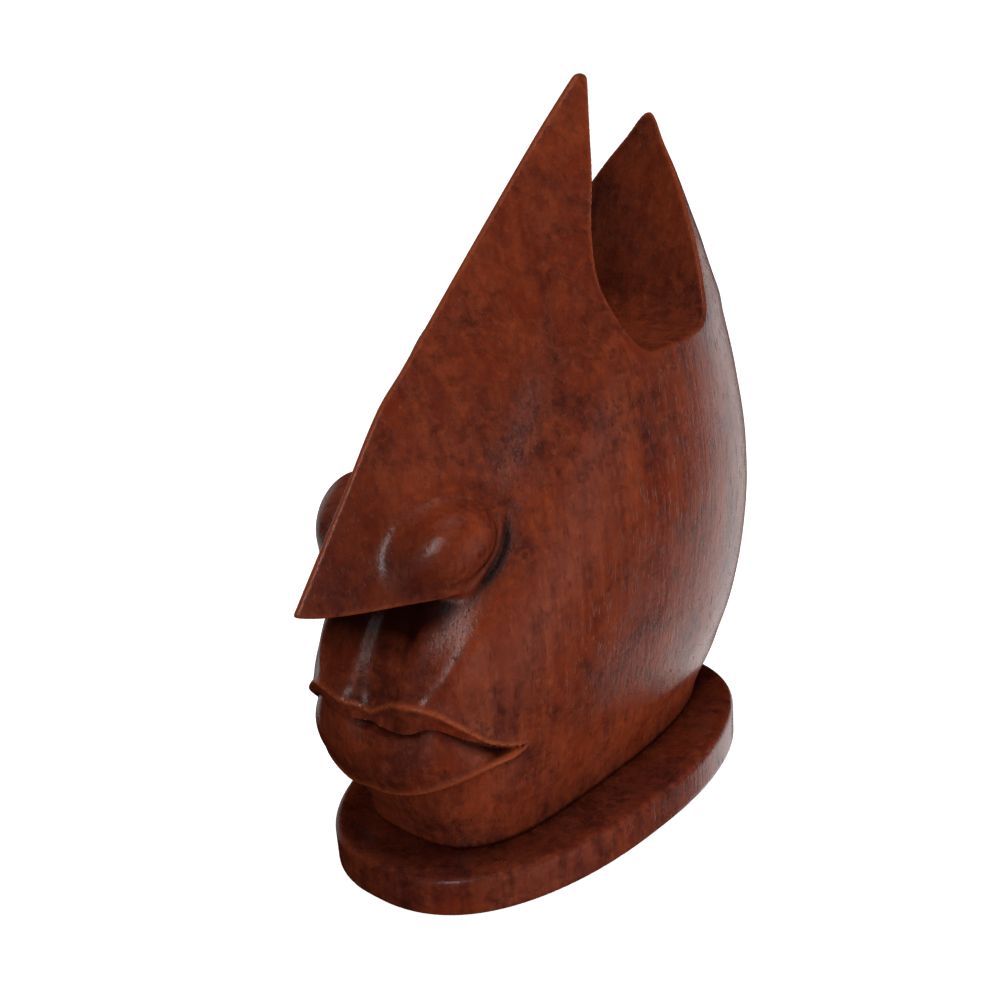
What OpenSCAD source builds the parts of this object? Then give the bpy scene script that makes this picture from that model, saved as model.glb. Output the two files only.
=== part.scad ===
// Eyeglasses display stand: a carved wooden half-portrait with a split crown.
// The glasses sit across the bridge of the nose with their folded temples in the notch behind the brow.
// +Z is up, the face looks along -Y, and the origin is the centre of the felt pad's resting face.

/* [Plinth] */
// Length of the plinth, front to back
plinth_length = 114; // [110:1:130]
// Width of the plinth
plinth_width = 69; // [66:1:80]
// Thickness of the plinth
plinth_thickness = 9.4; // [8:0.2:14]
// Squareness of the plinth's oval outline, where 2 is a true ellipse
plinth_squareness = 2.35; // [2:0.05:3]
// Width of the softened upper edge of the plinth
plinth_edge = 1.2; // [0.4:0.2:2]

/* [Head] */
// Height of the front spike above the underside of the plinth
head_height = 163.5; // [140:0.5:180]
// Greatest width of the cheeks
head_width = 66; // [58:1:68]
// How far the nose tip stands in front of the middle of the plinth
nose_reach = 67.5; // [60:0.5:75]
// How far the centre of the face lies to the left of the middle of the plinth
head_offset = 2; // [0:0.5:3]
// Height of the smooth bumps that form the lips
lip_height = 2.6; // [1:0.1:4]
// How far the nostrils swell out of the sides of the nose
nostril_swell = 5; // [2:0.5:6]

/* [Notch] */
// Height of the notch floor above the underside of the plinth
notch_floor = 109; // [102:1:114]
// How far the notch's front end lies behind the middle of the plinth
notch_front = 8.6; // [6:0.2:10]
// How far the foot of the notch's rear wall lies behind the middle of the plinth
notch_rear = 37; // [35:0.5:39]
// Lean of the notch's front wall, as run over rise
front_wall_lean = 0.45; // [0.35:0.05:0.6]
// Lean of the front spike's rear face above the throat, as run over rise
spike_lean = 0.6; // [0.58:0.01:0.64]
// Lean of the notch's rear wall, as run over rise
rear_wall_lean = 0.385; // [0.34:0.005:0.4]
// Radius of the notch's front corner
front_corner_radius = 13; // [8:1:15]
// Radius of the notch's rear corner
rear_corner_radius = 5; // [3:1:8]

/* [Fixings] */
// Outer diameter of the wood screws
screw_diameter = 4.2; // [3.5:0.1:5]
// Length of the wood screws
screw_length = 32; // [26:1:40]
// Distance from the plinth's middle to each screw
screw_reach = 26; // [15:1:32]
// Thickness of the felt pad
felt_thickness = 1.2; // [0.8:0.1:2]
// Gap between the felt pad's edge and the plinth's edge
felt_inset = 2.5; // [1:0.5:6]

/* [Hidden] */

wood_colour = [0.42, 0.20, 0.14];
plinth_colour = [0.46, 0.22, 0.15];
screw_colour = [0.62, 0.62, 0.60];
felt_colour = [0.10, 0.09, 0.09];

// Gap all round between a screw and its hole, and the length by which cutting shapes run past a face
clearance = 0.05;
past = 1;

// Screws: head, depth of the head below the plinth's underside, thread and cross recess
screw_head_diameter = 2 * screw_diameter;
screw_sink = 0.6;
thread_pitch = 2;
thread_crest = 0.4;
thread_core = 0.7;
plain_shank = 10;
point_length = 3;
recess_span = 5.2;
recess_width = 1;
recess_depth = 2;

// Height above the notch floor at which the front wall leans further back
throat_rise = 24;

// Nostrils: direction off the middle line, height, and how fast the swell fades in degrees and in height
nostril_turn = 18;
nostril_height = 82;
nostril_fade = 8;

// Mouth line: height on the middle line, drop at its corners, half width and bend
mouth_height = 39.5;
mouth_drop = 10;
mouth_half_width = 22;
mouth_bend = 1.6;

// Lips: middle of each above or below the mouth line, its spread in height, and the lower lip's fullness
upper_lip = 5;
upper_lip_spread = 4;
lower_lip = 6;
lower_lip_spread = 4.5;
lower_lip_fullness = 1.6;

// Width over which the face, nose and brow run into each other
blend = 3;

// Curves of the head, each as [height, value] with heights above the plinth's underside.
// They are drawn for a head 163.5 high, 66 wide and 67.5 to the nose tip, and are scaled from there.
drawn_height = 163.5;
drawn_width = 66;
drawn_nose = 67.5;

// Half width of the head
side_curve = [[9.4, 23], [20, 24.5], [30, 27], [45, 30], [60, 32], [75, 33], [90, 32], [105, 29.3],
              [116, 26], [124, 21.5], [133, 16], [142, 11.2], [150, 7], [158, 3.6], [163.5, 0.6]];
// Line of the back of the head
back_curve = [[9.4, 51.5], [20, 56], [35, 63], [55, 68], [75, 69.5], [92, 67.5], [104, 64], [114, 60],
              [126, 56.8], [135, 55.2], [143, 54.3], [150.5, 53.2], [153, 51], [158, 44], [163.5, 30]];
// Line on which the head is widest
middle_curve = [[9.4, -8], [40, -4], [75, 3], [116, 10], [135, 15], [150, 23], [163.5, 28.3]];
// Front of the face without its nose
face_curve = [[9.4, -44.5], [15, -46], [25, -49.5], [35, -54.5], [45, -56.5], [53, -55], [61, -51],
              [68, -46], [76, -40], [84, -34], [92, -28], [100, -22], [110, -14], [120, -5], [130, 3],
              [145, 15], [163.5, 28]];
// Fullness of the face's front and of the head's back, where 2 is a true oval
full_curve = [[9.4, 3], [30, 2.6], [60, 2.4], [80, 2.1], [163.5, 2.1]];
nape_curve = [[9.4, 2.2], [30, 2.4], [60, 2.6], [85, 2.5], [108, 2.1], [163.5, 2]];
// Ridge of the nose, brow and front spike
ridge_curve = [[9.4, -20], [68, -36], [71, -45], [72, -58], [74, -67.5], [94, -50.8], [108, -39.3],
               [116, -29.5], [127, -18], [131, -13], [163.5, 28]];
// Half width to which the wedge of the nose or brow spreads
spread_curve = [[9.4, 10], [72, 17], [80, 19], [88, 17], [96, 16], [106, 22], [116, 26],
                [124, 21.5], [133, 16], [142, 11.2], [150, 7], [158, 3.6], [163.5, 0.6]];
// Slope of the wedge's flanks, as half width over depth
flank_curve = [[9.4, 0.58], [84, 0.58], [94, 0.54], [104, 0.6], [116, 0.64], [135, 0.6], [163.5, 0.64]];

// Tangent of a curve at point i
function slope_at(c, i) =
    let (a = max(i - 1, 0), b = min(i + 1, len(c) - 1))
    (c[b][1] - c[a][1]) / (c[b][0] - c[a][0]);

// Index of the curve's segment that holds height h
function segment_of(c, h, i = 0) = i >= len(c) - 2 || h < c[i + 1][0] ? i : segment_of(c, h, i + 1);

// Value of a curve at height h, by cubic pieces through its points
function along(c, h) =
    let (i = segment_of(c, h),
         span = c[i + 1][0] - c[i][0],
         t = min(max((h - c[i][0]) / span, 0), 1),
         m0 = slope_at(c, i) * span,
         m1 = slope_at(c, i + 1) * span)
    (2 * pow(t, 3) - 3 * t * t + 1) * c[i][1] + (pow(t, 3) - 2 * t * t + t) * m0
    + (3 * t * t - 2 * pow(t, 3)) * c[i + 1][1] + (pow(t, 3) - t * t) * m1;

// Smaller or larger of two radii, blended over a width k
function soft_min(a, b, k) = min(a, b) - pow(max(k - abs(a - b), 0), 2) / (4 * k);
function soft_max(a, b, k) = max(a, b) + pow(max(k - abs(a - b), 0), 2) / (4 * k);

// Radius of an oval in direction t, where t = 0 points to the front
function oval(t, half_width, front, back, front_power, back_power) =
    let (p = cos(t) > 0 ? front_power : back_power, d = cos(t) > 0 ? front : back)
    pow(pow(abs(sin(t)) / half_width, p) + pow(abs(cos(t)) / d, p), -1 / p);

// Radius of the wedge in direction t, and a large one where the wedge never ends
function wedge(t, reach, flank) =
    let (spread = abs(sin(t)) + flank * cos(t))
    spread > 0.05 ? reach * flank / spread : 400;

// Radius of the head in direction t at height h: a face with the wedge of the nose or brow in front of it
function head_radius(t, h) =
    let (w = along(side_curve, h),
         middle = along(middle_curve, h),
         back = along(back_curve, h) - middle,
         nape = along(nape_curve, h),
         face = oval(t, w, middle - along(face_curve, h), back, along(full_curve, h), nape),
         reach = middle - along(ridge_curve, h),
         spread = oval(t, along(spread_curve, h), 1.4 * reach, back, 4, nape),
         brow = soft_min(wedge(t, reach, along(flank_curve, h)), spread, blend) + nostril(t, h),
         smooth = soft_max(face, brow, blend))
    smooth + lips(smooth * sin(t), cos(t), h);

// Bump that fades to either side of zero
function bump(x) = exp(-x * x);

// Swell of the nostrils, in two directions either side of the nose
function nostril(t, h) =
    let (turn = min(abs(t), 360 - t))
    nostril_swell * bump((turn - nostril_turn) / nostril_fade) * bump((h - nostril_height) / nostril_fade);

// Height of the mouth line at a distance x from the centre of the face
function mouth_line(x) = mouth_height - mouth_drop * pow(min(abs(x) / mouth_half_width, 1), mouth_bend);

// Rise of the lips above the face
function lips(x, facing, h) =
    let (above = h - mouth_line(x),
         side = max(1 - pow(x / mouth_half_width, 2), 0),
         upper = bump((above - upper_lip) / upper_lip_spread),
         lower = lower_lip_fullness * bump((above + lower_lip) / lower_lip_spread))
    facing > 0 ? lip_height * side * (upper + lower) : 0;

// Directions round the head, closer together at the face
around = 84;
directions = [for (i = [0 : around - 1]) let (u = 360 * i / around) u - 28 * sin(u)];

// Heights of the head's rings, closer together from the chin to the nose
neck = 9.4;
heights = concat([for (h = [neck : 2.1 : 70]) h], [71, 72, 73, 74, 76], [for (h = [79 : 3.5 : 161]) h],
                 [drawn_height]);

// Ring of points round the head at height h, brought to the driving dimensions
function ring(h) =
    let (z = plinth_thickness + (h - neck) * (head_height - plinth_thickness) / (drawn_height - neck))
    [for (t = directions) let (r = head_radius(t, h))
        [r * sin(t) * head_width / drawn_width,
         (along(middle_curve, h) - r * cos(t)) * nose_reach / drawn_nose,
         z]];

// Closed solid through a stack of rings
module loft(rings) {
    n = len(rings[0]);
    top = len(rings) - 1;
    points = [for (r = rings, p = r) p];
    walls = [for (j = [0 : top - 1], i = [0 : n - 1])
        let (a = j * n + i, b = j * n + (i + 1) % n)
        each [[a, a + n, b + n], [a, b + n, b]]];
    underside = [[for (i = [0 : n - 1]) i]];
    crown = [[for (i = [n - 1 : -1 : 0]) top * n + i]];
    polyhedron(points, concat(underside, walls, crown), convexity = 8);
}

// Points of an arc between two angles
function arc(centre, radius, from, to, steps = 6) =
    [for (i = [0 : steps]) let (a = from + (to - from) * i / steps)
        centre + radius * [cos(a), sin(a)]];

// Side view of the notch between the two spikes, as [y, z]
module notch_outline() {
    top = head_height + past;
    front_centre = [notch_front + front_corner_radius, notch_floor + front_corner_radius];
    front_arc = arc(front_centre, front_corner_radius, 180 - atan(front_wall_lean), 270);
    throat_z = notch_floor + throat_rise;
    throat_y = front_arc[0].x + front_wall_lean * (throat_z - front_arc[0].y);
    rear_slant = sqrt(1 + pow(rear_wall_lean, 2)) - rear_wall_lean;
    rear_centre = [notch_rear - rear_slant * rear_corner_radius, notch_floor + rear_corner_radius];
    rear_arc = arc(rear_centre, rear_corner_radius, -90, -atan(rear_wall_lean));
    polygon(concat([[throat_y + spike_lean * (top - throat_z), top], [throat_y, throat_z]],
                   front_arc, rear_arc,
                   [[notch_rear + rear_wall_lean * (top - notch_floor), top]]));
}

module notch() {
    span = 2 * head_width;
    rotate([90, 0, 90]) translate([0, 0, -span / 2]) linear_extrude(height = span) notch_outline();
}

module at_screws(side) {
    translate([0, side * screw_reach, 0]) children();
}

module carved_head() {
    color(wood_colour) translate([0, 0, felt_thickness]) difference() {
        translate([-head_offset, 0, 0]) difference() {
            loft([for (h = heights) ring(h)]);
            notch();
        }
        for (side = [-1, 1]) at_screws(side)
            cylinder(h = screw_length + screw_sink + past, d = screw_diameter + 2 * clearance, $fn = 32);
    }
}

// Oval outline of the plinth, drawn in by a margin
function oval_outline(margin) =
    let (a = plinth_width / 2 - margin, b = plinth_length / 2 - margin, k = 2 / plinth_squareness)
    [for (t = [0 : 3 : 357])
        [a * sign(cos(t)) * pow(abs(cos(t)), k), b * sign(sin(t)) * pow(abs(sin(t)), k)]];

// The same outline as a ring of points at height z
function oval_ring(margin, z) = [for (p = oval_outline(margin)) [p.x, p.y, z]];

// Body of the plinth, with its upper edge rounded
module plinth_blank() {
    shoulder = plinth_thickness - plinth_edge;
    edge = [for (a = [0 : 30 : 90]) oval_ring(plinth_edge * (1 - cos(a)), shoulder + plinth_edge * sin(a))];
    loft(concat([oval_ring(0, 0)], edge));
}

module plinth() {
    bore = screw_diameter + 2 * clearance;
    countersink = screw_head_diameter + 2 * clearance;
    color(plinth_colour) translate([0, 0, felt_thickness]) difference() {
        plinth_blank();
        for (side = [-1, 1]) at_screws(side) {
            translate([0, 0, -past]) cylinder(h = plinth_thickness + 2 * past, d = bore, $fn = 32);
            translate([0, 0, -past]) cylinder(h = past + screw_sink, d = countersink, $fn = 48);
            translate([0, 0, screw_sink]) cylinder(h = countersink / 2, d1 = countersink, d2 = 0, $fn = 48);
        }
    }
}

// Countersunk wood screw with its flat head down at z = 0
module wood_screw() {
    outer = screw_diameter / 2;
    core = thread_core * outer;
    cone = screw_head_diameter / 2 - outer;
    turns = floor((screw_length - cone - plain_shank) / thread_pitch);
    start = screw_length - point_length - turns * thread_pitch;
    ridges = [for (i = [0 : turns - 1]) let (z = start + i * thread_pitch)
        each [[core, z + thread_crest], [outer, z + thread_pitch]]];
    difference() {
        rotate_extrude($fn = 48)
            polygon(concat([[0, 0], [screw_head_diameter / 2, 0], [outer, cone], [outer, start]],
                           ridges, [[0, screw_length]]));
        for (turn = [0, 90]) rotate(turn) translate([-recess_span / 2, -recess_width / 2, -past])
            cube([recess_span, recess_width, recess_depth + past]);
    }
}

module placed_screw(side) {
    color(screw_colour) at_screws(side) translate([0, 0, felt_thickness + screw_sink]) wood_screw();
}

module front_screw() {
    placed_screw(-1);
}

module rear_screw() {
    placed_screw(1);
}

module felt_pad() {
    color(felt_colour) linear_extrude(height = felt_thickness)
        polygon(oval_outline(felt_inset));
}

carved_head();
plinth();
front_screw();
rear_screw();
felt_pad();
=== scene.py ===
"""Eyeglasses display stand: a carved wooden half-portrait on an oval plinth.

The head's surface is written as a field in millimetres, with the origin on the plinth's underside and x
measured from the middle of the face. The field is negative inside the wood, and surface_mesh() turns it into
a closed mesh.
"""

import math

import bpy
import numpy as np
from mathutils import Matrix, Vector


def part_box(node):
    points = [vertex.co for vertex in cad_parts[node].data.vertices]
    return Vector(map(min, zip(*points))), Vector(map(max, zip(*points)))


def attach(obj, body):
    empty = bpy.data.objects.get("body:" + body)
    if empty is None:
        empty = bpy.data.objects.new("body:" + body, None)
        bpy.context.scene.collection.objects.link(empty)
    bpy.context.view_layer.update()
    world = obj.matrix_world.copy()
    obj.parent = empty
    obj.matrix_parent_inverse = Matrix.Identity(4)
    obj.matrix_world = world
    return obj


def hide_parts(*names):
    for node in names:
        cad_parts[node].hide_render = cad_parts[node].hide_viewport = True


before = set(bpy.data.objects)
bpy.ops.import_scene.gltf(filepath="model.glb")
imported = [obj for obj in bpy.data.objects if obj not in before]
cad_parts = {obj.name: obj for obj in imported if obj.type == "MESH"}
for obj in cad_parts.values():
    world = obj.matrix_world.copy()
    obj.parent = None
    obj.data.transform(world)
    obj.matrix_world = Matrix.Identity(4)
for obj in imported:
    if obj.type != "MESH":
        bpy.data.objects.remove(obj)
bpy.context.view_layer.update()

MM = 0.001

# ---------------------------------------------------------------- sizes, in millimetres

plinth_low, plinth_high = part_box("plinth")
head_low, head_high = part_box("carved_head")
felt_low, felt_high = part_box("felt_pad")

PLINTH_BASE = plinth_low.z / MM
PLINTH_TOP = (plinth_high.z - plinth_low.z) / MM
PLINTH_HALF_WIDTH = (plinth_high.x - plinth_low.x) / 2 / MM
PLINTH_HALF_LENGTH = (plinth_high.y - plinth_low.y) / 2 / MM
FELT_HALF_WIDTH = (felt_high.x - felt_low.x) / 2 / MM
FELT_HALF_LENGTH = (felt_high.y - felt_low.y) / 2 / MM
FELT_TOP = felt_high.z / MM
HEAD_MIDDLE_X = (head_low.x + head_high.x) / 2 / MM
SQUARENESS = 2.35

HEAD_CELL = 0.5
PLINTH_CELL = 0.6

# Foot and top of the carved head, and the ends of the height range of every curve below
HEAD_FOOT = 9.4
HEAD_TOP = 163.5

# Curves of the head as (height, value), set against the photo's outline
SIDE = [(9.4, 23), (20, 24.5), (30, 27), (45, 30), (60, 32), (75, 33), (90, 32), (105, 29.5),
        (116, 26.8), (124, 23.5), (133, 18.6), (142, 13), (150, 7.6), (158, 3.6), (163.5, 0.6)]
BACK = [(9.4, 51.5), (20, 56), (35, 63), (55, 68), (75, 69.5), (92, 67.5), (104, 64), (114, 60),
        (126, 56.8), (135, 55.2), (143, 54.3), (150.5, 53.2), (153, 51), (158, 44), (163.5, 30)]
MIDDLE = [(9.4, -8), (40, -4), (75, 3), (116, 10), (135, 15), (150, 23), (163.5, 28.3)]
FACE = [(9.4, -44.5), (15, -46), (25, -49.5), (35, -54.5), (45, -56.5), (53, -55), (61, -51), (68, -46),
        (76, -40), (84, -34), (92, -28), (100, -22), (110, -14), (120, -5), (130, 3), (145, 15), (163.5, 28)]
FULLNESS = [(9.4, 3), (30, 2.6), (60, 2.4), (80, 2.1), (163.5, 2.1)]
NAPE = [(9.4, 2.7), (20, 2.9), (32, 3.0), (42, 2.9), (52, 2.75), (62, 2.6), (72, 2.42), (90, 2.25),
        (105, 2.32), (111, 2.5), (117, 2.5), (125, 2.55), (138, 2.5), (147, 2.05), (163.5, 2)]
RIDGE = [(60, -79), (74, -67.5), (94, -51), (108, -39.5), (114, -32), (132, -11), (152, 13), (163.5, 28)]
SPREAD = [(60, 18), (72, 18.5), (80, 18.5), (86, 19.5), (92, 22), (98, 22.5), (105, 22), (112, 22.3),
          (120, 24), (124, 23.2), (133, 18.6), (142, 13.2), (150, 8.5), (158, 5), (163.5, 3)]
FLANK = [(60, 0.58), (84, 0.58), (94, 0.54), (104, 0.57), (116, 0.58), (135, 0.57), (163.5, 0.62)]
JOIN = [(9.4, 2.2), (80, 2.2), (86, 2.4), (94, 5), (103, 4.5), (112, 2), (120, 0.8), (163.5, 0.8)]
SHOULDER = [(9.4, 3), (84, 3), (96, 6), (112, 4), (135, 3), (163.5, 3)]
SLACK = [(9.4, 30), (86, 30), (91, 9), (95, 6.8), (99, 5.4), (104, 4.0), (109, 2.9), (114, 1.8), (120, 0.8),
         (126, 0.2), (163.5, 0)]
PHILTRUM_DEPTH = [(9.4, 0), (40, 0), (44, 1.0), (48, 3.0), (56, 3.0), (66, 3.2), (74, 3.4), (163.5, 0)]

# Curves of the mouth as (degrees from its middle, height or depth)
MOUTH_TURN = 5
RIGHT_LIP_DROP = 4.0
UPPER_RIM = [(0, 47.5), (6, 50), (11, 51.5), (16, 50.5), (22, 46), (30, 39.5), (40, 35.5)]
MOUTH_LINE = [(0, 45), (6, 44), (11, 44.2), (16, 45.2), (24, 40.7), (32, 37), (40, 35)]
LOWER_RIM = [(0, 26.7), (10, 28.5), (28, 33.5), (40, 35)]
MOUTH_DEPTH = [(0, 2.6), (5, 2.8), (10, 2.9), (17, 2.2), (24, 1.6), (31, 1.1), (40, 0)]

# Front and rear walls and floor of the notch as (height, y)
NOTCH_FRONT = [(109, 9.8), (122, 10.2), (133, 14.2), (148, 22.4), (163.5, 30.6)]
NOTCH_FLOOR = 109
NOTCH_REAR = (109, 37)
NOTCH_REAR_LEAN = 0.385

# Nose: underside as (y, height), and each wing's centre, radii and turn
NOSE_BOTTOM = [(-70, 74), (-62, 72.2), (-46, 71.6), (-36, 72.2), (-20, 76)]
NEAR_WING = ((12.1, -38.0, 79.6), (8.2, 13.0, 8.5), math.radians(-37))
FAR_WING = ((12.3, -37.4, 80.1), (8.4, 12.4, 8.4), math.radians(-26))
WING_PITCH = math.radians(30)


# ---------------------------------------------------------------- curves and soft joins

def along(curve, at):
    """Value of a curve at each of the given places, by cubic pieces through its points."""
    points = np.array(curve, float)
    x, v = points[:, 0], points[:, 1]
    slope = np.gradient(v, x, edge_order=1)
    slope[1:-1] = (v[2:] - v[:-2]) / (x[2:] - x[:-2])
    i = np.clip(np.searchsorted(x, at, side="right") - 1, 0, len(x) - 2)
    span = x[i + 1] - x[i]
    t = np.clip((at - x[i]) / span, 0, 1)
    return ((2 * t**3 - 3 * t * t + 1) * v[i] + (t**3 - 2 * t * t + t) * slope[i] * span
            + (3 * t * t - 2 * t**3) * v[i + 1] + (t**3 - t * t) * slope[i + 1] * span)


def soft_min(a, b, k):
    """The smaller of two fields, with their join rounded over about k."""
    return np.minimum(a, b) - np.maximum(k - np.abs(a - b), 0) ** 2 / (4 * k)


def soft_max(a, b, k):
    """The larger of two fields, with their join rounded over about k."""
    return np.maximum(a, b) + np.maximum(k - np.abs(a - b), 0) ** 2 / (4 * k)


def bump(x):
    """Round hump, 1 at x = 0 and nearly 0 beyond 2 on either side."""
    return np.exp(-x * x)


def step(x):
    """Smooth step from 0 at x <= 0 to 1 at x >= 1."""
    t = np.clip(x, 0, 1)
    return t * t * (3 - 2 * t)


def oval(sine, cosine, half_width, front, back, front_power, back_power):
    """Radius of an oval in one direction, with its own depth and roundness in front and behind."""
    power = np.where(cosine > 0, front_power, back_power)
    depth = np.where(cosine > 0, front, back)
    size = (np.abs(sine) / half_width) ** power + (np.abs(cosine) / depth) ** power
    return np.maximum(size, 1e-12) ** (-1 / power)


# ---------------------------------------------------------------- the head's field

def lips(turn, h):
    """Rise of the carved lips above the face, where turn is degrees from the front, positive on the left
    cheek. The upper lip overhangs the slit. The right half of the mouth is thinner above and fuller below."""
    side = np.abs(turn - MOUTH_TURN)
    right = step((MOUTH_TURN - turn) / 9)
    fade = step((44 - side) / 9)
    upper = along(UPPER_RIM, side)
    mouth = along(MOUTH_LINE, side) + 1.6 * right
    lower = along(LOWER_RIM, side) - RIGHT_LIP_DROP * step((MOUTH_TURN - turn) / 15)
    depth = (along(MOUTH_DEPTH, side) * (1 - right) + 0.7 * right) * fade
    up_rim = 1.7 * fade * (1 - 0.6 * step((-12 - turn) / 16))
    low_rim = 2.7 * fade
    rise_up = np.clip((h - mouth) / np.maximum(upper - mouth, 0.4), 0, 1)
    above = np.where(h < upper, 0.1 * fade + (up_rim - 0.1 * fade) * rise_up**1.3,
                     up_rim * np.exp(-np.maximum(h - upper, 0) / 1.1))
    rise_down = np.clip((mouth - h) / np.maximum(mouth - lower, 0.4), 0, 1)
    plate = -depth + (depth + low_rim) * (1 - (1 - rise_down) ** (1.6 + 1.4 * right))
    bead = 0.6 * fade * bump((h - lower - 0.8) / 0.8)
    drop = np.maximum(lower - h, 0)
    under = low_rim - (low_rim + 1.2 * fade) * step(drop / 2.2)
    under = np.where(drop > 2.2, -1.2 * fade * np.exp(-(((drop - 2.2) / 5) ** 2)), under)
    below = np.where(h > lower, plate + bead, under + bead)
    share = step((h - mouth) / 0.8 + 0.5)
    return above * share + below * (1 - share)


def lip_edges(x, y, h):
    """How near a point lies to the rims of the lips, lightened as partly wear and partly painted highlight,
    from 0 to 1.
    """
    middle = along(MIDDLE, np.clip(h, HEAD_FOOT, HEAD_TOP))
    turn = np.degrees(np.arctan2(x, middle - y))
    side = np.abs(turn - MOUTH_TURN)
    lower = along(LOWER_RIM, side) - RIGHT_LIP_DROP * step((MOUTH_TURN - turn) / 15)
    upper_line = bump((h - along(UPPER_RIM, side)) / 0.55)
    lower_line = bump((h - lower - 0.5) / 0.8)
    return np.maximum(upper_line, lower_line) * step((44 - side) / 8)


def carving(turn, h):
    """Philtrum, its two columns, and the cove above the plinth."""
    middle = turn - MOUTH_TURN - 2
    philtrum = -along(PHILTRUM_DEPTH, h) * np.exp(-(middle / 6.2) ** 4)
    column = np.clip(13.4 + 0.67 * (h - 51.2), 12, 25)
    columns = 1.5 * bump((np.abs(middle) - column) / 5.0) * bump((h - 56) / 9)
    columns = columns - 2.0 * step((-turn - 11) / 12) * step((turn + 58) / 24) * bump((h - 58) / 8)
    cove = 0.5 * bump((h - 22) / 3.5) - 1.0 * bump((h - 13) / 4.5)
    return philtrum + columns + cove


def wing(x, y, h, place, radii, yaw):
    """Distance to the ellipsoid of a nostril wing, scaled to millimetres near its surface."""
    cy, sy, cp, sp = math.cos(yaw), math.sin(yaw), math.cos(WING_PITCH), math.sin(WING_PITCH)
    dx, dy, dz = np.abs(x) - place[0], y - place[1], h - place[2]
    dy, dz = cp * dy + sp * dz, -sp * dy + cp * dz
    u = (cy * dx + sy * dy) / radii[0]
    v = (-sy * dx + cy * dy) / radii[1]
    w = dz / radii[2]
    size = np.sqrt(u * u + v * v + w * w)
    slope = np.sqrt((u / radii[0]) ** 2 + (v / radii[1]) ** 2 + (w / radii[2]) ** 2)
    return (size - 1) * size / np.maximum(slope, 0.02)


def head_field(x, y, h):
    """Field of the carved head, negative inside."""
    level = np.clip(h, HEAD_FOOT, HEAD_TOP)
    middle = along(MIDDLE, level)
    radius = np.hypot(x, middle - y) + 1e-6
    sine, cosine = x / radius, (middle - y) / radius
    turn = np.degrees(np.arctan2(x, middle - y))
    back = along(BACK, level) - middle
    nape = along(NAPE, level)
    front = middle - along(FACE, level)
    skull = oval(sine, cosine, along(SIDE, level), front, back, along(FULLNESS, level), nape)
    skull = skull + carving(turn, h) + lips(turn, h)
    wings = np.where(x > 0, wing(x, y, h, *NEAR_WING), wing(x, y, h, *FAR_WING))
    face = radius - skull + 1.2 * bump(np.maximum(wings, 0) / 2.2) * step((y + 38) / 6) * step((86 - h) / 6)

    ridge = along(RIDGE, level)
    flank = along(FLANK, level)
    edge = 0.7
    wedge = (np.sqrt(x * x + edge * edge) - 0.6 * edge - flank * (y - ridge)) / np.sqrt(1 + flank * flank)
    limit = radius - oval(sine, cosine, along(SPREAD, level), 1.4 * (middle - ridge) + 12, back, 4, nape)
    face = soft_max(face, wedge - along(SLACK, level), 3)
    nose = soft_max(wedge, limit, along(SHOULDER, level))
    nose = soft_min(nose, wings, 4)
    nose = soft_max(nose, along(NOSE_BOTTOM, y) - h, 1.0)

    solid = soft_min(face, nose, along(JOIN, level))
    notch_front = (along(NOTCH_FRONT, h) - y) * 0.9
    notch_rear = (y - NOTCH_REAR[1] - NOTCH_REAR_LEAN * (h - NOTCH_REAR[0])) / math.hypot(1, NOTCH_REAR_LEAN)
    notch = soft_max(soft_max(notch_front, NOTCH_FLOOR - h, 8), notch_rear, 4)
    solid = soft_max(solid, -notch, 0.9)
    solid = soft_max(solid, h - (HEAD_TOP - 0.2), 1.0)
    return soft_max(solid, PLINTH_TOP - 0.15 - h, 0.3)


# ---------------------------------------------------------------- from field to mesh

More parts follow.
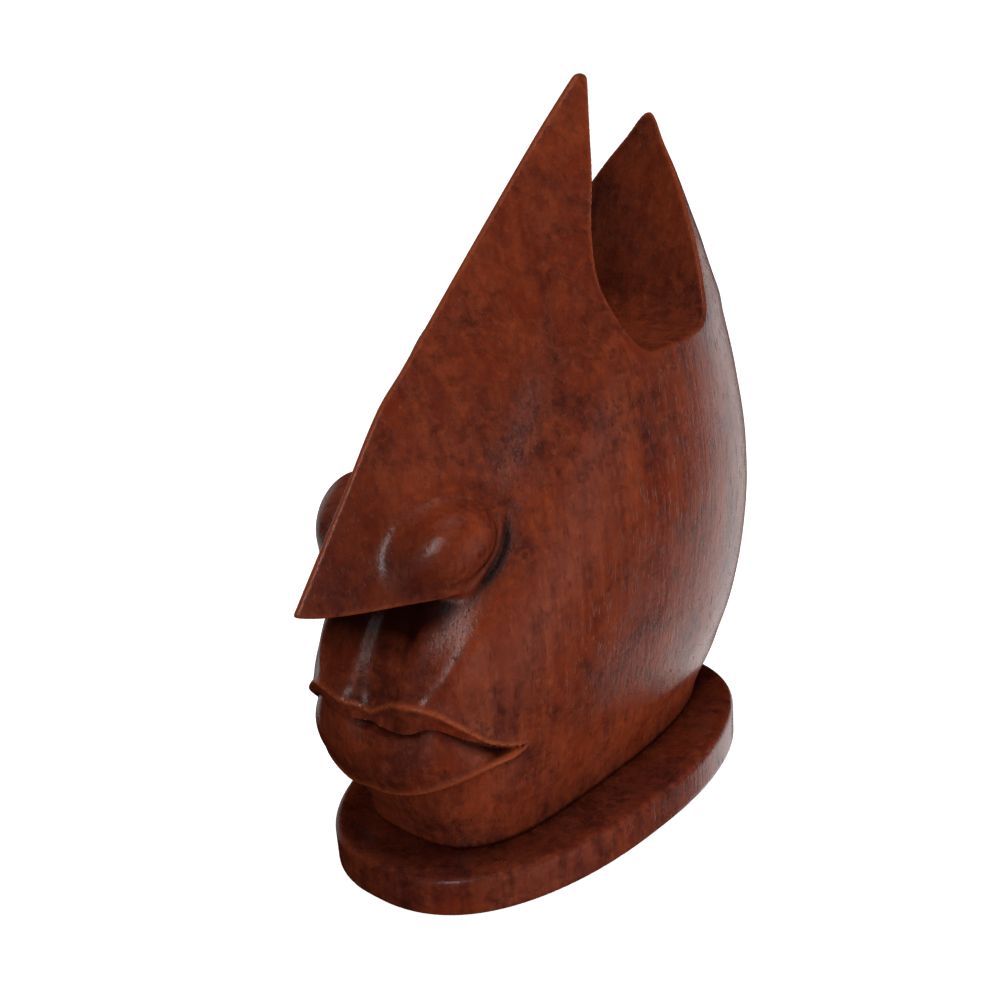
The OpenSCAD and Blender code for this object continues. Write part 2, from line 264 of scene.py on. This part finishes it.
def surface_mesh(name, field, low, high, cell, offset):
    """Closed mesh of a field's zero surface, by surface nets and a few steps down the field's slope."""
    low, high = np.array(low, float), np.array(high, float)
    counts = np.ceil((high - low) / cell).astype(int) + 1
    axes = [low[i] + cell * np.arange(counts[i]) for i in range(3)]
    values = np.empty(tuple(counts), np.float32)
    for k, z in enumerate(axes[2]):
        gx, gy = np.meshgrid(axes[0], axes[1], indexing="ij")
        values[:, :, k] = field(gx, gy, np.full_like(gx, z))
    inside = values < 0

    cells = np.zeros(tuple(counts - 1), np.uint8)
    shape = cells.shape
    corners = [(i, j, k) for i in (0, 1) for j in (0, 1) for k in (0, 1)]
    for i, j, k in corners:
        cells += inside[i:i + shape[0], j:j + shape[1], k:k + shape[2]]
    mixed = (cells > 0) & (cells < 8)
    index = np.full(shape, -1, np.int64)
    index[mixed] = np.arange(mixed.sum())
    at = np.argwhere(mixed)
    points = low + (at + 0.5) * cell

    faces = []
    for axis in range(3):
        a, b = (axis + 1) % 3, (axis + 2) % 3
        here = np.take(inside, range(counts[axis] - 1), axis)
        there = np.take(inside, range(1, counts[axis]), axis)
        crossing = np.argwhere(here != there)
        keep = (crossing[:, a] > 0) & (crossing[:, b] > 0)
        keep &= (crossing[:, a] < shape[a]) & (crossing[:, b] < shape[b])
        crossing = crossing[keep]
        leaving = here[tuple(crossing.T)]
        quad = []
        for da, db in ((1, 1), (0, 1), (0, 0), (1, 0)):
            corner = crossing.copy()
            corner[:, a] -= da
            corner[:, b] -= db
            quad.append(index[tuple(corner.T)])
        quad = np.stack(quad, 1)
        quad[~leaving] = quad[~leaving][:, ::-1]
        faces.append(quad)
    faces = np.concatenate(faces)

    small = 0.05
    for _ in range(6):
        value = field(*points.T)
        slope = np.stack([(field(*(points + d).T) - field(*(points - d).T)) / (2 * small)
                          for d in small * np.eye(3)], 1)
        move = slope * (value / np.maximum((slope**2).sum(1), 0.05))[:, None]
        length = np.linalg.norm(move, axis=1)[:, None]
        points = points - move * np.minimum(1, 0.5 * cell / np.maximum(length, 1e-9))

    mesh = bpy.data.meshes.new(name)
    mesh.from_pydata(((points + offset) * MM).tolist(), [], faces.tolist())
    mesh.update()
    mesh.polygons.foreach_set("use_smooth", np.ones(len(mesh.polygons), bool))
    add_edge_wear_and_crease_shade(mesh)
    add_painted_light_and_wear(mesh, field, offset)
    piece = bpy.data.objects.new(name, mesh)
    bpy.context.scene.collection.objects.link(piece)
    return piece


def add_edge_wear_and_crease_shade(mesh):
    """Stores how convex (edge, for edge wear) and how hollow (for painted shade in creases) the surface is at
    each point.
    """
    count = len(mesh.vertices)
    points = np.empty(count * 3)
    mesh.vertices.foreach_get("co", points)
    points = points.reshape(-1, 3) / MM
    normals = np.empty(count * 3)
    mesh.vertices.foreach_get("normal", normals)
    normals = normals.reshape(-1, 3)
    edges = np.empty(len(mesh.edges) * 2, np.int64)
    mesh.edges.foreach_get("vertices", edges)
    a, b = edges.reshape(-1, 2).T
    valence = np.bincount(a, minlength=count) + np.bincount(b, minlength=count)

    def spread(v):
        total = np.bincount(a, weights=v[b], minlength=count) + np.bincount(b, weights=v[a], minlength=count)
        return total / np.maximum(valence, 1)

    mean = np.stack([spread(points[:, i]) for i in range(3)], 1)
    bend = ((points - mean) * normals).sum(1)
    length = np.linalg.norm(points[a] - points[b], axis=1)
    bend = bend / np.mean(length) ** 2
    for _ in range(3):
        bend = spread(bend)
    fine = bend.copy()
    for _ in range(14):
        bend = spread(bend)
    seam = np.abs(points[:, 2] - PLINTH_BASE - PLINTH_TOP)
    fine = fine * np.clip((seam - 1) / 2, 0.25, 1)
    # Convex places feed edge wear; concave places feed painted shade in creases.
    for name, value in (("edge", np.clip(fine, 0, 1)), ("painted_crease_shade", np.clip(-bend * 4, 0, 1))):
        layer = mesh.attributes.new(name, "FLOAT", "POINT")
        layer.data.foreach_set("value", value.astype(np.float32))


def add_painted_light_and_wear(mesh, field, offset):
    """Stores painted shade in recesses (how shut in each point is), the lightened lip rims and nose ridge
    (partly wear and partly painted highlight on the lips, painted highlight on the ridge), and painted shade
    on the front of the nose and the upper head.
    """
    count = len(mesh.vertices)
    points = np.empty(count * 3)
    mesh.vertices.foreach_get("co", points)
    points = points.reshape(-1, 3) / MM - offset
    normals = np.empty(count * 3)
    mesh.vertices.foreach_get("normal", normals)
    normals = normals.reshape(-1, 3)
    unit = np.maximum(field(*(points + 0.5 * normals).T) / 0.5, 0.3)
    # Painted shade: darker where the surface has little open room out along its normal, like ambient
    # occlusion.
    painted_recess_shade = np.zeros(count)
    for reach, weight in ((2, 0.12), (5, 0.33), (12, 0.5)):
        room = field(*(points + reach * normals).T) / unit
        painted_recess_shade += weight * np.clip(1 - room / reach, 0, 1)
    if field is head_field:
        # Painted shade: a dark line on the head where it meets the plinth's top.
        painted_recess_shade += 0.4 * bump((points[:, 2] - PLINTH_TOP) / 0.9)
        # Lip rims lightened: partly wear, partly painted highlight.
        wear_and_painted_highlight = lip_edges(*points.T)
        # Painted shade: the front of the nose and fin above the nose's underside, and more weakly the whole
        # head above about 90 mm, are darkened.
        painted_nose_and_brow_shade = step((-34 - points[:, 1]) / 18) * step((points[:, 2] - 71) / 3)
        painted_nose_and_brow_shade = np.maximum(painted_nose_and_brow_shade, 0.35 * step((points[:, 2] - 90) / 20))
        # Painted highlight: a lighter line along the nose ridge.
        tip = along(RIDGE, np.clip(points[:, 2], 60, HEAD_TOP))
        wear_and_painted_highlight = np.maximum(wear_and_painted_highlight, 0.7 * (points[:, 1] < tip + 1.0) * (points[:, 2] > 74))
    else:
        wear_and_painted_highlight = painted_nose_and_brow_shade = np.zeros(count)
    for name, value in (("painted_recess_shade", painted_recess_shade * (1 - wear_and_painted_highlight)), ("wear_and_painted_highlight", wear_and_painted_highlight), ("painted_nose_and_brow_shade", painted_nose_and_brow_shade)):
        layer = mesh.attributes.new(name, "FLOAT", "POINT")
        layer.data.foreach_set("value", value.astype(np.float32))


# ---------------------------------------------------------------- the plinth and the pad

def oval_distance(x, y, half_width, half_length):
    """Rough distance to an oval outline."""
    u, v = np.abs(x) / half_width, np.abs(y) / half_length
    size = (u**SQUARENESS + v**SQUARENESS + 1e-12) ** (1 / SQUARENESS)
    slope = np.hypot(u ** (SQUARENESS - 1) / half_width, v ** (SQUARENESS - 1) / half_length)
    return (size - 1) * size ** (SQUARENESS - 1) / np.maximum(slope, 0.004)


def plinth_field(x, y, z):
    """Field of the plinth, with a rounded upper edge and a shallow dish round the head's foot."""
    wobble = 0.25 * np.sin(0.16 * x + 0.4) * np.cos(0.11 * y)
    rim = oval_distance(x, y, PLINTH_HALF_WIDTH - 0.3, PLINTH_HALF_LENGTH - 0.3) + 0.4 * wobble
    dish = 0.7 * step((-rim - 2) / 7)
    under_head = 0.7 * step(-(head_field(x - HEAD_MIDDLE_X, y, np.full_like(x, PLINTH_TOP + 0.4)) + 1.5) / 2)
    top = z - (PLINTH_TOP - 0.05 - dish + under_head)
    body = soft_max(rim, top, 1.8)
    return soft_max(body, 0.05 - z, 0.8)


def felt_field(x, y, z):
    rim = oval_distance(x, y, FELT_HALF_WIDTH, FELT_HALF_LENGTH)
    return soft_max(soft_max(rim, z - FELT_TOP, 0.5), -z, 0.3)


# ---------------------------------------------------------------- materials

def shader(material):
    material.use_nodes = True
    return next(n for n in material.node_tree.nodes if n.type == "BSDF_PRINCIPLED")


class Graph:
    """Short names for adding nodes to a material."""

    def __init__(self, material):
        self.nodes = material.node_tree.nodes
        self.links = material.node_tree.links

    def add(self, kind, **settings):
        node = self.nodes.new(kind)
        for key, value in settings.items():
            setattr(node, key, value)
        return node

    def link(self, source, target):
        self.links.new(source, target)

    def stretched(self, stretch):
        """Object coordinates multiplied by stretch."""
        place = self.add("ShaderNodeTexCoord")
        scale = self.add("ShaderNodeMapping")
        scale.inputs["Scale"].default_value = stretch
        self.link(place.outputs["Object"], scale.inputs["Vector"])
        return scale.outputs["Vector"]

    def noise(self, vector, scale, detail=3.0, roughness=0.55, distortion=0.0):
        node = self.add("ShaderNodeTexNoise")
        node.inputs["Scale"].default_value = scale
        node.inputs["Detail"].default_value = detail
        node.inputs["Roughness"].default_value = roughness
        node.inputs["Distortion"].default_value = distortion
        self.link(vector, node.inputs["Vector"])
        return node.outputs["Fac"]

    def ramp(self, value, low, high, to_low=0.0, to_high=1.0):
        node = self.add("ShaderNodeMapRange", clamp=True)
        for name, number in (("From Min", low), ("From Max", high), ("To Min", to_low), ("To Max", to_high)):
            node.inputs[name].default_value = number
        self.link(value, node.inputs["Value"])
        return node.outputs["Result"]

    def math(self, operation, a, b):
        node = self.add("ShaderNodeMath", operation=operation)
        for socket, value in ((node.inputs[0], a), (node.inputs[1], b)):
            if isinstance(value, (int, float)):
                socket.default_value = value
            else:
                self.link(value, socket)
        return node.outputs[0]

    def mix(self, amount, a, b, blend="MIX"):
        node = self.add("ShaderNodeMix", data_type="RGBA", blend_type=blend)
        for socket, value in ((node.inputs["Factor"], amount), (node.inputs[6], a), (node.inputs[7], b)):
            if isinstance(value, (int, float)):
                socket.default_value = value
            elif isinstance(value, tuple):
                socket.default_value = (*value, 1.0)
            else:
                self.link(value, socket)
        return node.outputs[2]

    def attribute(self, name):
        return self.add("ShaderNodeAttribute", attribute_name=name).outputs["Fac"]


RED_BROWN = (0.150, 0.0205, 0.0068)
# Darkens the real specks, grain and pores, and also serves as painted shade in creases and on the nose's
# front.
DARK_STAIN_AND_PAINTED_SHADE = (0.032, 0.006, 0.004)
# Painted shade in recesses.
PAINTED_SHADE_BLACK = (0.008, 0.0012, 0.001)
ORANGE_WOOD = (0.27, 0.053, 0.017)
PURPLE_BROWN = (0.070, 0.014, 0.011)


def stained_wood(name, tint=(1.0, 1.0, 1.0)):
    """Red-brown stained hardwood with upright grain, blotches, pores, lighter worn edges and a satin varnish,
    with painted shade in creases, recesses, the seam on the plinth and the front of the nose, and a painted
    highlight on the lip rims and nose ridge.
    """
    material = bpy.data.materials.new(name)
    bsdf = shader(material)
    g = Graph(material)
    plain = g.stretched((1.0, 1.0, 1.0))
    upright = g.stretched((1.0, 1.0, 0.07))
    fibre = g.stretched((1.0, 1.0, 0.035))

    blotch = g.ramp(g.noise(plain, 55, 6, 0.66, 0.6), 0.40, 0.64)
    speck = g.ramp(g.noise(plain, 330, 5, 0.72, 0.4), 0.46, 0.64)
    glow = g.ramp(g.noise(plain, 420, 4, 0.7, 0.2), 0.50, 0.68)
    band = g.ramp(g.noise(upright, 150, 3, 0.55, 0.8), 0.34, 0.68)
    grain = g.ramp(g.noise(fibre, 900, 3, 0.6), 0.35, 0.70)
    pores = g.ramp(g.noise(g.stretched((1.0, 1.0, 0.12)), 1700, 2, 0.5), 0.63, 0.72)

    colour = g.mix(g.math("MULTIPLY", blotch, 0.85), RED_BROWN, PURPLE_BROWN)
    colour = g.mix(g.math("MULTIPLY", band, 0.45), colour, ORANGE_WOOD)
    colour = g.mix(g.math("MULTIPLY", glow, 0.45), colour, ORANGE_WOOD)
    specks = g.ramp(g.math("MULTIPLY", speck, g.math("ADD", blotch, 0.35)), 0, 1)
    colour = g.mix(g.math("MULTIPLY", specks, 0.62), colour, DARK_STAIN_AND_PAINTED_SHADE)
    colour = g.mix(g.math("MULTIPLY", grain, 0.30), colour, DARK_STAIN_AND_PAINTED_SHADE)
    colour = g.mix(g.math("MULTIPLY", pores, 0.60), colour, DARK_STAIN_AND_PAINTED_SHADE)
    # Painted shade on the front of the nose and the upper head.
    colour = g.mix(g.math("MULTIPLY", g.attribute("painted_nose_and_brow_shade"), 0.5), colour, DARK_STAIN_AND_PAINTED_SHADE)
    # Painted shade in creases.
    painted_crease_shade = g.ramp(g.attribute("painted_crease_shade"), 0.08, 0.7, 0.0, 0.7)
    colour = g.mix(painted_crease_shade, colour, DARK_STAIN_AND_PAINTED_SHADE)
    # Painted shade, near black, in recesses and at the head's seam on the plinth.
    colour = g.mix(g.ramp(g.attribute("painted_recess_shade"), 0.15, 0.50, 0.0, 0.93), colour, PAINTED_SHADE_BLACK)
    edge = g.ramp(g.attribute("edge"), 0.10, 0.45, 0.0, 0.55)
    # Lighter lip rims, partly wear and partly painted highlight; lighter nose ridge, a painted highlight.
    edge = g.math("MAXIMUM", edge, g.math("MULTIPLY", g.attribute("wear_and_painted_highlight"), 0.75))
    colour = g.mix(edge, colour, ORANGE_WOOD)
    colour = g.mix(1.0, colour, tint, "MULTIPLY")
    g.link(colour, bsdf.inputs["Base Color"])

    gloss = g.ramp(g.noise(plain, 90, 4, 0.6), 0.3, 0.7, 0.22, 0.31)
    g.link(g.math("ADD", gloss, g.math("MULTIPLY", pores, 0.2)), bsdf.inputs["Roughness"])
    # The varnish's reflection is turned down where the painted recess shade lies.
    g.link(g.ramp(g.attribute("painted_recess_shade"), 0.10, 0.40, 0.40, 0.06), bsdf.inputs["Specular IOR Level"])
    bsdf.inputs["Coat Weight"].default_value = 0.04
    bsdf.inputs["Coat Roughness"].default_value = 0.25

    peel = g.noise(plain, 1500, 2, 0.6)
    height = g.math("ADD", g.math("MULTIPLY", peel, 0.8), g.math("MULTIPLY", grain, -0.35))
    height = g.math("ADD", height, g.math("MULTIPLY", pores, -0.9))
    height = g.math("ADD", height, g.math("MULTIPLY", g.noise(plain, 260, 3, 0.5), 0.9))
    relief = g.add("ShaderNodeBump")
    relief.inputs["Strength"].default_value = 0.5
    relief.inputs["Distance"].default_value = 0.00012
    g.link(height, relief.inputs["Height"])
    g.link(relief.outputs["Normal"], bsdf.inputs["Normal"])
    return material


def pressed_felt(name):
    material = bpy.data.materials.new(name)
    bsdf = shader(material)
    g = Graph(material)
    plain = g.stretched((1.0, 1.0, 1.0))
    fibres = g.noise(plain, 1400, 5, 0.7, 2.0)
    colour = g.mix(g.ramp(fibres, 0.3, 0.7), (0.012, 0.010, 0.010), (0.045, 0.040, 0.038))
    g.link(colour, bsdf.inputs["Base Color"])
    bsdf.inputs["Roughness"].default_value = 0.95
    bsdf.inputs["Sheen Weight"].default_value = 0.4
    relief = g.add("ShaderNodeBump")
    relief.inputs["Strength"].default_value = 0.8
    relief.inputs["Distance"].default_value = 0.0002
    g.link(fibres, relief.inputs["Height"])
    g.link(relief.outputs["Normal"], bsdf.inputs["Normal"])
    return material


def plated_steel(name):
    material = bpy.data.materials.new(name)
    bsdf = shader(material)
    g = Graph(material)
    plain = g.stretched((1.0, 1.0, 1.0))
    stain = g.noise(plain, 700, 4, 0.6)
    g.link(g.mix(stain, (0.52, 0.51, 0.47), (0.66, 0.66, 0.64)), bsdf.inputs["Base Color"])
    bsdf.inputs["Metallic"].default_value = 1.0
    g.link(g.ramp(stain, 0.3, 0.7, 0.28, 0.42), bsdf.inputs["Roughness"])
    return material


# ---------------------------------------------------------------- build

head = surface_mesh("carved_portrait", head_field, (-37, -71, PLINTH_TOP - 2), (37, 73, 165), HEAD_CELL,
                    np.array([HEAD_MIDDLE_X, 0, PLINTH_BASE]))
plinth = surface_mesh("oval_plinth", plinth_field, (-36.5, -59, -2), (36.5, 59, 12), PLINTH_CELL,
                      np.array([0, 0, PLINTH_BASE]))
felt = surface_mesh("felt_sheet", felt_field, (-34, -57, -1), (34, 57, 2.4), PLINTH_CELL, np.zeros(3))

head.data.materials.append(stained_wood("carved_wood"))
plinth.data.materials.append(stained_wood("plinth_wood", (0.92, 0.90, 0.95)))
felt.data.materials.append(pressed_felt("black_felt"))
steel = plated_steel("zinc_plated_steel")

for piece, node, slot in ((head, "carved_head", "head_wood"), (plinth, "plinth", "plinth_wood"),
                          (felt, "felt_pad", "felt")):
    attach(piece, "root")
    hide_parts(node)

for node in ("front_screw", "rear_screw"):
    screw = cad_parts[node].data
    screw.materials.clear()
    screw.materials.append(steel)


# ---------------------------------------------------------------- floor, light and camera

def add_floor():
    """Pale floor that gives its own light, so it stays even and casts nothing on the wood."""
    mesh = bpy.data.meshes.new("floor")
    half = 3.0
    corners = [(-half, -half, 0), (half, -half, 0), (half, half, 0), (-half, half, 0)]
    mesh.from_pydata(corners, [], [(0, 1, 2, 3)])
    floor = bpy.data.objects.new("floor", mesh)
    bpy.context.scene.collection.objects.link(floor)
    material = bpy.data.materials.new("pale_floor")
    bsdf = shader(material)
    bsdf.inputs["Base Color"].default_value = (0.6, 0.6, 0.6, 1)
    bsdf.inputs["Roughness"].default_value = 0.9
    bsdf.inputs["Emission Color"].default_value = (1, 1, 1, 1)
    bsdf.inputs["Emission Strength"].default_value = 0.97
    mesh.materials.append(material)
    floor.visible_diffuse = False
    floor.visible_glossy = False
    floor.visible_shadow = False


def add_panel(name, place, target, size, power, mirrored=False):
    """A soft light. Only a mirrored one shows as a highlight in the varnish."""
    light = bpy.data.lights.new(name, "AREA")
    light.shape = "RECTANGLE"
    light.size, light.size_y = size
    light.energy = power
    panel = bpy.data.objects.new(name, light)
    bpy.context.scene.collection.objects.link(panel)
    panel.location = place
    panel.visible_glossy = mirrored
    panel.rotation_euler = (Vector(target) - Vector(place)).to_track_quat("-Z", "Y").to_euler()


def add_world():
    """White surroundings that only the camera sees."""
    world = bpy.data.worlds.new("studio")
    world.use_nodes = True
    background = world.node_tree.nodes["Background"]
    background.inputs["Color"].default_value = (1.0, 1.0, 1.0, 1)
    background.inputs["Strength"].default_value = 1.0
    world.cycles_visibility.diffuse = False
    world.cycles_visibility.glossy = False
    bpy.context.scene.world = world


# The photo's camera, solved from the size of the glasses and the outline of the plinth
CAMERA_ANGLES = (43.74, 23.58, 4.55)
CAMERA_PLACE = (0.2357, -0.2541, 0.2261)
CAMERA_LENS = 60.95


def add_camera():
    """Camera at the photo's azimuth, elevation and roll, in degrees."""
    azimuth, elevation, roll = (math.radians(angle) for angle in CAMERA_ANGLES)
    back = Vector((math.sin(azimuth) * math.cos(elevation), -math.cos(azimuth) * math.cos(elevation),
                   math.sin(elevation)))
    right = (-back).cross(Vector((0, 0, 1))).normalized()
    up = back.cross(right)
    right, up = (right * math.cos(roll) - up * math.sin(roll), right * math.sin(roll) + up * math.cos(roll))
    turn = Matrix((right, up, back)).transposed()
    data = bpy.data.cameras.new("camera")
    data.lens = CAMERA_LENS
    data.clip_start = 0.01
    camera = bpy.data.objects.new("camera", data)
    bpy.context.scene.collection.objects.link(camera)
    place = Vector(CAMERA_PLACE) + Vector((0, 0, PLINTH_BASE * MM))
    camera.matrix_world = Matrix.Translation(place) @ turn.to_4x4()
    bpy.context.scene.camera = camera


add_floor()
add_world()
middle = (0, 0, 0.08)
add_panel("low_front", (0.42, -1.0, 0.05), middle, (0.7, 0.7), 3.8)
add_panel("right", (1.05, 0.15, -0.25), middle, (0.8, 0.8), 9)
add_panel("back_right", (0.8, 0.8, 0.3), middle, (0.6, 0.6), 3.5)
add_panel("top", (0.1, 0.0, 1.2), middle, (0.6, 0.6), 9.2)
add_panel("left", (-1.0, -0.3, 0.4), middle, (0.7, 0.7), 1.6)
add_panel("strip", (0.45, -0.78, 0.62), middle, (0.10, 0.62), 1.9, True)
add_panel("side_window", (1.0, 0.05, 0.30), middle, (0.30, 0.30), 0.12, True)
add_panel("rim", (0.06, 1.0, -0.35), middle, (0.6, 0.9), 2.2, True)
add_panel("left_rim", (-1.0, 0.15, 0.0), middle, (0.5, 0.9), 0.7, True)
add_camera()
bpy.context.scene.view_settings.view_transform = "Standard"
